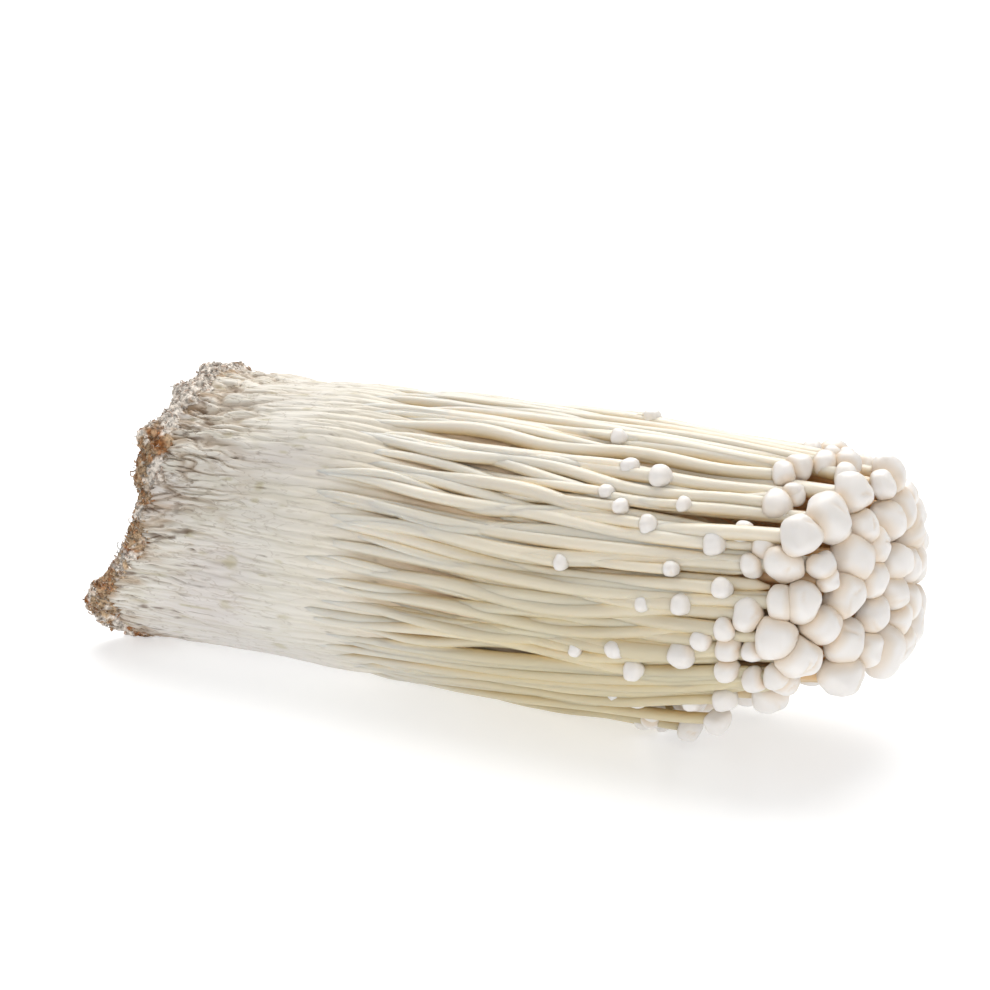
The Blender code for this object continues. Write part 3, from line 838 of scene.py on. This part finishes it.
def squash(rings, middles, sizes):
    """Caps that meet are pressed flat against each other; returns how near others are."""
    nearness = [np.zeros(points.shape[:2]) for points in rings]
    for i, points in enumerate(rings):
        for j, other in enumerate(middles):
            gap = other - middles[i]
            apart = np.linalg.norm(gap)
            both = sizes[i] + sizes[j]
            if i == j or not SQUASH_TO * both <= apart <= SQUASH_FROM * both:
                continue
            gap = gap / apart
            limit = apart * sizes[i] / both - SQUASH_GAP
            reach = (points - middles[i]) @ gap
            points -= (SQUASH_SHARE * np.maximum(0.0, reach - limit))[..., None] * gap
            nearness[i] = np.maximum(nearness[i], step(reach - limit, -0.25 * sizes[i], 0.0))
    return nearness


def add_caps(mushrooms, material, own):
    """Two meshes with every cap, those of the face made finer."""
    mushrooms = [m for m in mushrooms if m.cap > 0.0]
    meshes = [FACE_CAP_MESH if m.kind == "face" else SIDE_CAP_MESH for m in mushrooms]
    made = [cap_points(m, mesh, own) for m, mesh in zip(mushrooms, meshes)]
    rings, middles, all_dents = zip(*made)
    nearness = squash(rings, middles, [m.cap * CAP_PLUMP[m.kind] for m in mushrooms])
    batches = {FACE_CAP_MESH: Batch(), SIDE_CAP_MESH: Batch()}
    for points, near, dents, mesh in zip(rings, nearness, all_dents, meshes):
        # Painted shade on the cap's underside and where it meets other caps
        under = step(-np.linspace(0.0, 1.0, mesh[0]), -0.45, -0.05)[:, None]
        tone = blend(CAP_COLOUR * own.uniform(0.97, 1.03), CAP_SHADE_COLOUR,
                     np.maximum(0.75 * under, 0.6 * near))
        # Painted shade in the dents
        tone = blend(tone, CAP_SHADE_COLOUR, 0.6 * dents)
        batches[mesh].add(lift(points), tube_faces(*mesh), tone)
    batches[FACE_CAP_MESH].make("face_caps", "mushroom_bunch", "mushroom", material)
    batches[SIDE_CAP_MESH].make("side_caps", "mushroom_bunch", "mushroom", material)


# The grown-together base. A grain's or a crease's sizes are along, across and up, and the
# number after them picks its pattern; a crease's last number is the width of its lines.

def ridge(number):
    """A rounded strand around each whole number, with a sharp crease between."""
    away = np.abs(number - np.round(number))
    return 1.0 - (2.0 * away) ** 2.4


def swelling(along, clock):
    """The base's broad swellings, as in the solids."""
    turn = np.radians(clock)
    spots = np.stack([along / SWELL_LENGTH, SWELLS_AROUND * np.sin(turn),
                      SWELLS_AROUND * np.cos(turn)], axis=-1)
    values = [noise.noise(Vector(spot)) for spot in spots.reshape(-1, 3)]
    return np.reshape(values, along.shape)


def slits(own, along, clock):
    """Depth of the short dark slits that run from the root end, from 0 to 1."""
    depth = np.zeros(along.shape)
    for _ in range(SLITS):
        start = CUT_ALONG + abs(own.gauss(0.0, SLIT_SPREAD))
        length = own.uniform(*SLIT_LENGTHS)
        at = own.uniform(0.0, 360.0)
        width = own.uniform(*SLIT_WIDTHS)
        slope = own.uniform(*SLIT_SLOPES)
        away = (clock - at - slope * (along - start) + 180.0) % 360.0 - 180.0
        reach = (along - start) / length
        hole = np.exp(-(away / width) ** 2) * np.exp(-(2.0 * reach) ** 4)
        depth = np.maximum(depth, own.uniform(0.3, 1.0) * hole)
    return depth


def base_fields(own):
    """The base's points before they are shaped, and what creases and stains them there."""
    reach = np.linspace(0.0, 1.0, BASE_ALONG) ** ROWS_CROWDED
    nominal = CUT_ALONG + (BASE_END - CUT_ALONG) * reach
    along, clock = rows_around(nominal, BASE_AROUND, FIRST_CLOCK)
    flat = place(along, clock, 1.0)
    number = (clock - FIRST_CLOCK) / STEM_SPACING
    rooty = 1.0 - step(along, *ROOTY_BETWEEN)
    upper = step(flat[..., 2], *UPPER_BETWEEN)
    bend = grain(flat, (7.0, 4.0, 4.0), 3.0) + 0.5 * grain(flat, (3.5, 2.0, 2.0), 5.0)
    bent = flat + (rooty * (0.5 + upper) * bend)[..., None] * (0.0, 0.9, 0.9)
    broad = crease(bent, (13.0, 2.3, 2.3), 31.0, 0.10) * rooty * (0.25 + 0.75 * upper)
    small = 0.8 * crease(bent, (9.0, 1.5, 1.5), 38.0, 0.11) * rooty ** 2 * upper
    return SimpleNamespace(
        along=along, clock=clock, flat=flat, bent=bent, rooty=rooty, upper=upper,
        growing=step(along, *GROWING_BETWEEN),
        strands=ridge(2.0 * number + 0.5 * rooty * bend),
        folds=np.maximum(broad, small),
        fine=crease(bent, (8.0, 1.1, 1.1), 33.0, 0.16),
        finest=crease(bent, (6.0, 0.6, 0.6), 35.0, 0.25),
        holes=slits(own, along, clock + 1.5 * rooty * bend),
    )


def base_points(base):
    """The base's points: ridged, creased and swollen, following the cut, then narrower."""
    proud = (0.12 + 0.5 * base.growing) * (base.strands - 0.7)
    proud += base.rooty * (0.2 + 0.3 * base.upper) * grain(base.bent, (10.0, 2.6, 2.6), 32.0)
    proud -= (FOLD_DEPTH * base.folds + (0.16 + 0.16 * base.rooty) * base.fine
              + (0.06 + 0.10 * base.rooty) * base.finest)
    proud -= SLIT_DEPTH * base.holes
    proud += SWELL * swelling(base.along, base.clock)
    closing = 1.0 - NARROWER * step(base.along, *NARROWS_BETWEEN)
    closing = closing * domed(base.along, BASE_END - BASE_CLOSING, BASE_END)
    share = closing * (1.0 + proud / outline(base.along)[0])
    points = place(base.along, base.clock + wander(base.along, base.clock), share)
    follow = 1.0 - step(base.along, CUT_ALONG, FOLLOWS_CUT_TO)
    cut = cut_along(points[..., 1], points[..., 2])
    points[..., 0] += follow * (cut - CUT_ALONG)
    points[..., 2] = np.maximum(points[..., 2], 0.0)
    return points


def base_tone(base):
    """The base's colours: whiter low down as painted light from the floor, mauve patches, tan
    and dark near the cut, and painted shade in its folds and among the stems.
    """
    flat = base.flat
    tone = np.broadcast_to(BASE_COLOUR, flat.shape)
    # Painted light from the floor: whiter low down
    tone = blend(tone, BASE_FLOOR_LIT_COLOUR, 1.0 - step(flat[..., 2], 2.0, 26.0))
    tone = blend(tone, MAUVE, 0.5 * step(grain(flat, (16.0, 11.0, 11.0), 1.0), -0.1, 0.7))
    tone = blend(tone, STEM_COLOUR, base.growing)
    # Warm painted shade on the base where it runs in among the stems
    tone = blend(tone, GAP_SHADE_COLOUR, 0.4 * step(base.along, 56.0, 80.0))
    tone = blend(tone, OLIVE, 0.16 * base.fine * (1.0 - 0.5 * base.growing))
    patches = 0.5 * step(grain(flat, (3.2, 1.1, 1.1), 7.0), 0.62, 0.84)
    tone = blend(tone, OLIVE, patches * (1.0 - base.growing))
    near_cut = np.exp((CUT_ALONG - base.along) / 8.0) * (0.75 + 0.25 * base.upper)
    # Tan and dark brown in the folds and fine creases near the cut: real staining there, and
    # painted shade deepening the folds
    tone = blend(tone, TAN, np.minimum(0.9, 0.5 * base.folds + 0.5 * near_cut * base.finest))
    tone = blend(tone, SOIL, 0.4 * base.folds ** 4)
    flecks = step(grain(base.bent, (2.8, 0.6, 0.6), 36.0) + 0.9 * near_cut, 0.7, 1.1)
    tone = blend(tone, SOIL, 0.75 * flecks)
    edge = step(6.0 * grain(flat, (5.0, 1.3, 1.3), 2.0) - base.along + CUT_ALONG, -6.0, 2.0)
    tone = blend(tone, TAN, 0.8 * edge)
    tone = blend(tone, SOIL, 0.9 * step(base.holes, 0.25, 0.8))
    streak = 1.0 + 0.05 * grain(flat, (8.0, 0.5, 0.5), 4.0)
    return tone * streak[..., None]


def add_base(material, own):
    """The creased base, from the cut to where it closes behind the free stems."""
    base = base_fields(own)
    near_cut = np.exp((CUT_ALONG - base.along) / 11.0)
    lined = 0.22 + 0.78 * near_cut * (0.45 + 0.55 * base.upper)
    lined = lined * (1.0 - 0.7 * base.growing)
    add_piece("base", "mushroom_bunch", material, base_points(base),
              tube_faces(BASE_ALONG, BASE_AROUND), base_tone(base), lined)


def add_core(material):
    """Packed inner stems, dimly seen between the outer ones."""
    nominal = np.linspace(CORE_START, CORE_END, CORE_ALONG)
    along, clock = rows_around(nominal, CORE_AROUND)
    uneven = grain(place(along, clock, 1.0), (12.0, 4.0, 4.0))
    strands = ridge(clock / CORE_SPACING + 0.5 * uneven)
    low = step(-np.cos(np.radians(clock)), -0.1, 0.7)
    share = CORE_SHARE - (0.03 + 0.27 * low) * step(along, *CORE_THINS_BETWEEN)
    closing = domed(along, CORE_CLOSES_FROM, CORE_END + 0.2)
    share = share * closing * (1.0 + 0.09 * (strands - 1.0))
    points = place(along, clock, share)
    points[..., 0] -= lean(points[..., 2]) * ((along - 60.0) / 76.0) ** 2
    points[..., 0] -= CORE_LOW_BACK * low * step(along, CORE_THINS_BETWEEN[0], CORE_END)
    # Painted shade: warm in the core's grooves between strands; the strand tops and the low side
    # take the stems' low colour, partly painted shade
    tone = blend(GAP_SHADE_COLOUR, STEM_LOW_COLOUR, 0.2 + 0.7 * step(strands, 0.3, 1.0))
    tone = blend(tone, STEM_LOW_COLOUR, 0.85 * low)
    add_piece("core", "mushroom_bunch", material, points,
              tube_faces(CORE_ALONG, CORE_AROUND), tone)


# The crust

def cut_point(clock, share):
    """Points on the cut."""
    points = place(CUT_ALONG, clock + wander(CUT_ALONG, clock), share)
    points[..., 0] = cut_along(points[..., 1], points[..., 2])
    return points


def crust_tone(points):
    """Crust colours: tan and rusty crumbs, dark hollows, and patches of white mycelium."""
    tone = blend(TAN, RUST, step(grain(points, 2.2, 11.0), -0.1, 0.7))
    tone = blend(tone, SOIL, 0.8 * step(grain(points, 0.9, 12.0), 0.15, 0.8))
    patch = (grain(points, 4.2, 13.0) + 0.8 * grain(points, 1.2, 14.0)
             + 0.5 * grain(points, 0.6, 15.0) + 1.1 * step(points[..., 2], 39.0, 47.0)
             + 0.15 * step(-points[..., 2], -16.0, -6.0))
    white = 0.92 * step(patch, -0.15, 0.4)
    return blend(tone, MYCELIUM, white), white


def crust_surface(clock, row):
    """Points of the crust: row 0 to 1 runs over its rim, 1 to 2 over its face."""
    clock, row = np.broadcast_arrays(clock, row)
    rim = np.clip(row, 0.0, 1.0)
    inward = np.clip(row - 1.0, 0.0, 1.0)
    share = 1.0 - inward
    flat = cut_point(clock, share)
    spread = 3.4 + 3.0 * grain(flat, 2.0, 21.0) + 2.8 * grain(flat, 6.0, 26.0)
    spread = spread - 2.0 * step(flat[..., 2], *CRUST_TOP)
    sleeve = np.clip(spread, 1.0, SLEEVE_MOST)
    thick = CRUST_THICKNESS + CRUST_LUMPS * grain(flat, 6.0, 22.0)
    thick = thick * (1.0 - 0.25 * share ** 4)
    points = flat.copy()
    points[..., 0] += sleeve * np.clip(1.0 - rim / SLEEVE_ROWS, 0.0, 1.0)
    points[..., 0] -= thick * np.clip((rim - SLEEVE_ROWS) / (1.0 - SLEEVE_ROWS), 0.0, 1.0)
    out = points - (0.0, *outline(CUT_ALONG)[2:])
    out[..., 0] = 0.0
    out /= np.maximum(1e-6, np.linalg.norm(out, axis=-1, keepdims=True))
    proud = -0.5 + 1.0 * step(rim, 0.0, 0.3) - 0.7 * step(rim, 0.75, 1.0)
    rough = 1.7 * grain(points, 4.6, 23.0) + 0.9 * grain(points, 1.8, 24.0)
    rough = rough + 0.45 * grain(points, 0.8, 25.0)
    rough = np.where(rough > 0.0, rough, 0.4 * rough)
    side = np.where(inward > 0.0, 0.0, 1.0)
    points = points + out * ((proud + 0.8 * rough * step(rim, 0.05, 0.4)) * side)[..., None]
    points[..., 0] -= 0.8 * rough * step(rim, 0.6, 1.0)
    return points


def add_crust(material):
    """The crust's own body."""
    rows = np.concatenate([np.linspace(0.0, 1.0, CRUST_RIM_ROWS),
                           np.linspace(*CRUST_FACE_SPAN, CRUST_FACE_ROWS)])
    row, clock = rows_around(rows, CRUST_AROUND)
    points = lift(crust_surface(clock, row))
    tone, _ = crust_tone(points)
    add_piece("crust", "root_crust", material, points,
              tube_faces(len(rows), CRUST_AROUND), tone)


def crust_spot(own, on_rim, rim_start):
    """A random clock angle and row, that often on the rim, and the crust's point there."""
    clock = own.uniform(0.0, 360.0)
    if own.random() < on_rim:
        row = own.uniform(rim_start, 1.0)
    else:
        row = 1.95 - own.random() ** 0.6
    return clock, row, crust_surface(np.array(clock), np.array(row))


def lump_shape(rings, sides):
    """Points and faces of a small ball."""
    tilt = np.pi * (np.arange(rings)[:, None] + 0.5) / rings
    turn = 2.0 * np.pi * np.arange(sides) / sides
    ring = np.stack([np.cos(turn), np.sin(turn), np.zeros(sides)], axis=-1)
    ball = np.sin(tilt)[..., None] * ring + np.cos(tilt)[..., None] * (0.0, 0.0, 1.0)
    return ball.reshape(-1, 3), tube_faces(rings, sides)


def add_crumbs(material, own):
    """Loose crumbs that stick to the crust and the base beside it."""
    ball, faces = lump_shape(*CRUMB_MESH)
    batch = Batch()
    for _ in range(CRUMBS):
        _, _, spot = crust_spot(own, 0.65, 0.05)
        size = min(CRUMB_MOST, 0.12 + abs(own.gauss(0.0, CRUMB_SPREAD)))
        stretch = three(own, 0.6, 1.3)
        bumps = 1.0 + 0.35 * grain(ball, 0.7, own.uniform(0.0, 30.0))
        points = spot + ball * bumps[:, None] * stretch * size
        tone, white = crust_tone(spot)
        tone = blend(tone, RUST if own.random() < 0.35 else TAN, 0.6 * (1.0 - white))
        batch.add(lift(points), faces, tone * own.uniform(0.6, 1.3))
    batch.make("crust_crumbs", "root_crust", "crust", material)


def add_fibres(material, own):
    """Matted straw-like bits and fine white threads of mycelium on the crust."""
    batch = Batch()
    faces = tube_faces(FIBRE_RINGS, FIBRE_SIDES)
    t = np.linspace(0.0, 1.0, FIBRE_RINGS)[:, None]
    for i in range(FIBRES):
        straw = i % 3 == 0
        clock, row, spot = crust_spot(own, 0.7, 0.0)
        out = outwards(clock) if row <= 1.0 else np.array((-1.0, 0.0, 0.0))
        heading = np.array([own.gauss(0.0, 1.0) for _ in range(3)])
        heading = unit(heading - (heading @ out) * out)
        side = np.cross(heading, out)
        curl = own.uniform(0.3, 1.0)
        bend = t * own.uniform(0.5, 2.0)
        line = spot + curl * (np.sin(bend) * heading + (1.0 - np.cos(bend)) * side)
        line = line + own.uniform(0.0, 0.25) * np.sin(np.pi * t) * out
        radius = own.uniform(*(STRAW_RADII if straw else THREAD_RADII))
        tone, _ = crust_tone(spot)
        colour = blend(tone, RUST, 0.4) if straw else blend(tone, MYCELIUM, 0.5)
        colour = colour * own.uniform(0.6, 1.15)
        radii = np.full(FIBRE_RINGS, radius)
        batch.add(lift(tube(line, radii, FIBRE_SIDES)), faces, colour)
    batch.make("crust_fibres", "root_crust", "crust", material)


# Materials

# Looks of the flesh: roughness, translucency and its depth, fibre grain, depth of its bump
FLESH_LOOKS = {
    "flesh": (0.34, 0.6, 0.0018, (130.0, 2200.0, 2200.0), 0.35),
    "base": (0.6, 0.10, 0.0012, (160.0, 1700.0, 1700.0), 0.45),
    "caps": (0.36, 0.25, 0.0012, (700.0, 700.0, 700.0), 0.12),
}
FLESH_SCATTER = (1.0, 0.72, 0.42)
CREASE_GRAIN = (120.0, 620.0, 620.0)
CREASE_WIDTH = 0.022
CREASE_DEPTH = -1.6
CREASE_COLOUR = 0.6 * TAN
GRIT_GRAIN = 1400.0


def set_inputs(owner, node, inputs):
    """Gives a node's inputs their values, or links each whose value is an output."""
    for name, value in inputs.items():
        if isinstance(value, bpy.types.NodeSocket):
            owner.node_tree.links.new(value, node.inputs[name])
        else:
            node.inputs[name].default_value = value


def add_node(owner, kind, inputs=None, **settings):
    """The outputs of a new node of a material or the world, with those inputs."""
    node = owner.node_tree.nodes.new("ShaderNode" + kind)
    for name, value in settings.items():
        setattr(node, name, value)
    set_inputs(owner, node, inputs or {})
    return node.outputs


def new_material(name):
    """A new material and its shader."""
    material = bpy.data.materials.new(name)
    material.use_nodes = True
    return material, material.node_tree.nodes["Principled BSDF"]


def stretched_noise(material, grain_scale, inputs):
    """Noise in the object's own space, its grain drawn out along the bunch."""
    where = add_node(material, "TexCoord")
    stretch = add_node(material, "Mapping",
                       {"Vector": where["Object"], "Scale": grain_scale})
    inputs = {"Vector": stretch["Vector"], "Scale": 1.0, **inputs}
    return add_node(material, "TexNoise", inputs)["Fac"]


def creased(material, tone, height):
    """The colour and height with fine dark wavy lines, drawn where the tone's alpha asks."""
    waves = stretched_noise(material, CREASE_GRAIN, {"Detail": 3.0, "Distortion": 0.7})
    centred = add_node(material, "Math", {0: waves, 1: 0.5}, operation="SUBTRACT")
    away = add_node(material, "Math", {0: centred["Value"]}, operation="ABSOLUTE")
    line = add_node(material, "MapRange", {
        "Value": away["Value"], "From Max": CREASE_WIDTH, "To Min": 1.0, "To Max": 0.0})
    asked = add_node(material, "Math", {0: line["Result"], 1: tone["Alpha"]},
                     operation="MULTIPLY")["Value"]
    mix = add_node(material, "MixRGB", {
        "Fac": asked, "Color1": tone["Color"], "Color2": (*CREASE_COLOUR, 1.0)})
    lower = add_node(material, "Math", {0: asked, 1: CREASE_DEPTH, 2: height},
                     operation="MULTIPLY_ADD")
    return mix["Color"], lower["Value"]


def flesh_material(name):
    """Satin mushroom flesh, slightly translucent."""
    roughness, translucency, depth, fibre_grain, bump_strength = FLESH_LOOKS[name]
    material, shader = new_material(name)
    tone = add_node(material, "Attribute", attribute_name="tone")
    colour = tone["Color"]
    height = stretched_noise(material, fibre_grain, {"Detail": 3.0})
    if name == "base":
        colour, height = creased(material, tone, height)
    bump = add_node(material, "Bump", {
        "Strength": bump_strength, "Distance": 0.0002, "Height": height})
    shader.subsurface_method = "BURLEY"
    set_inputs(material, shader, {
        "Base Color": colour, "Normal": bump["Normal"],
        "Roughness": roughness, "Specular IOR Level": 0.5,
        "Subsurface Weight": translucency, "Subsurface Scale": depth,
        "Subsurface Radius": FLESH_SCATTER})
    return material


def crust_material():
    """Dull crumbly growing medium, its colour darker in the bump's pits and lighter on its
    grains: painted shade and painted light on the grit.
    """
    material, shader = new_material("crust")
    tone = add_node(material, "Attribute", attribute_name="tone")
    where = add_node(material, "TexCoord")
    grit = add_node(material, "TexNoise", {
        "Vector": where["Object"], "Scale": GRIT_GRAIN, "Detail": 5.0})["Fac"]
    # Painted shade in the bump's pits and painted light on its grains, from the same noise as
    # the bump
    grit_shade = add_node(material, "MapRange", {
        "Value": grit, "From Min": 0.35, "From Max": 0.6, "To Min": 0.6, "To Max": 1.35})
    grit_shaded = add_node(material, "VectorMath", {0: tone["Color"], 1: grit_shade["Result"]},
                      operation="MULTIPLY")
    bump = add_node(material, "Bump", {
        "Strength": 0.8, "Distance": 0.0006, "Height": grit})
    set_inputs(material, shader, {
        "Base Color": grit_shaded["Vector"], "Normal": bump["Normal"],
        "Roughness": 0.95, "Specular IOR Level": 0.15})
    return material


# The studio

CAMERA_AZIMUTH = 30.0
CAMERA_ELEVATION = 17.0
CAMERA_DISTANCE = 0.58
CAMERA_LENS = 118.1
CAMERA_AIM = Vector((0.002, 0.0015, 0.026))
PHOTO_SIDE = 990.0
AIM_PIXEL = (510.0, 550.0)
FLOOR_SIDE = 0.8
FLOOR_LOOKS = {
    "Base Color": (0.60, 0.605, 0.615, 1.0), "Roughness": 0.35, "Specular IOR Level": 0.25,
    "Emission Color": (0.99, 0.995, 1.0, 1.0), "Emission Strength": 0.52,
}
# The room's light, and what the camera sees behind the floor
ROOM = {"Color": (1.0, 0.985, 0.97, 1.0), "Strength": 0.46}
BACKDROP = {"Color": (1.0, 1.0, 1.0, 1.0), "Strength": 1.05}
# Lamps: direction, distance, side, power and colour
LAMPS = {
    "top_back": ((-0.25, 0.50, 1.0), 1.2, 1.2, 17.0, (1.0, 0.985, 0.96)),
    "front": ((0.8, -1.0, 0.55), 1.6, 0.9, 4.5, (1.0, 0.99, 0.98)),
}


def add_camera():
    """The camera of the photograph, its aim point where it falls there."""
    azimuth = math.radians(CAMERA_AZIMUTH)
    elevation = math.radians(CAMERA_ELEVATION)
    away = Vector((
        math.sin(azimuth) * math.cos(elevation),
        -math.cos(azimuth) * math.cos(elevation),
        math.sin(elevation),
    ))
    data = bpy.data.cameras.new("camera")
    data.lens = CAMERA_LENS
    data.sensor_width = 36.0
    data.shift_x = 0.5 - AIM_PIXEL[0] / PHOTO_SIDE
    data.shift_y = AIM_PIXEL[1] / PHOTO_SIDE - 0.5
    camera = add_object("camera", data)
    camera.location = CAMERA_AIM + away * CAMERA_DISTANCE
    camera.rotation_euler = away.to_track_quat("Z", "Y").to_euler()
    bpy.context.scene.camera = camera


def add_floor():
    """A wide white surface, lit from below a little."""
    mesh = bpy.data.meshes.new("floor")
    corners = [(x * FLOOR_SIDE, y * FLOOR_SIDE, 0.0)
               for x, y in ((-1, -1), (1, -1), (1, 1), (-1, 1))]
    mesh.from_pydata(corners, [], [(0, 1, 2, 3)])
    material, shader = new_material("floor")
    set_inputs(material, shader, FLOOR_LOOKS)
    mesh.materials.append(material)
    floor = add_object("floor", mesh)


def add_light(name, direction, distance, size, power, colour):
    """A square lamp in that direction, facing the bunch."""
    data = bpy.data.lights.new(name, "AREA")
    data.size = size
    data.energy = power
    data.color = colour
    lamp = add_object(name, data)
    away = Vector(direction).normalized()
    lamp.location = away * distance
    lamp.rotation_euler = away.to_track_quat("Z", "Y").to_euler()


def add_studio():
    """High-key light: a bright room, and a large soft lamp above and behind."""
    world = bpy.data.worlds.new("studio")
    world.use_nodes = True
    room = world.node_tree.nodes["Background"]
    set_inputs(world, room, ROOM)
    path = add_node(world, "LightPath")
    backdrop = add_node(world, "Background", BACKDROP)
    mix = add_node(world, "MixShader", {
        0: path["Is Camera Ray"], 1: room.outputs["Background"], 2: backdrop["Background"]})
    set_inputs(world, world.node_tree.nodes["World Output"], {"Surface": mix["Shader"]})
    bpy.context.scene.world = world
    for name, lamp in LAMPS.items():
        add_light(name, *lamp)
    bpy.context.scene.view_settings.view_transform = "Standard"


def main():
    own = random.Random(SEED + 2)
    flesh = flesh_material("flesh")
    crust = crust_material()
    mushrooms = plan()
    outer = [m for m in mushrooms if m.kind in ("rim", "pin")]
    behind = [m for m in mushrooms if m.kind not in ("rim", "pin")]
    add_base(flesh_material("base"), own)
    add_core(flesh)
    add_stems(outer, "outer_stems", flesh, own)
    add_stems(behind, "inner_stems", flesh, own)
    add_caps(mushrooms, flesh_material("caps"), own)
    add_crust(crust)
    add_crumbs(crust, own)
    add_fibres(crust, own)
    add_floor()
    add_studio()
    add_camera()


main()
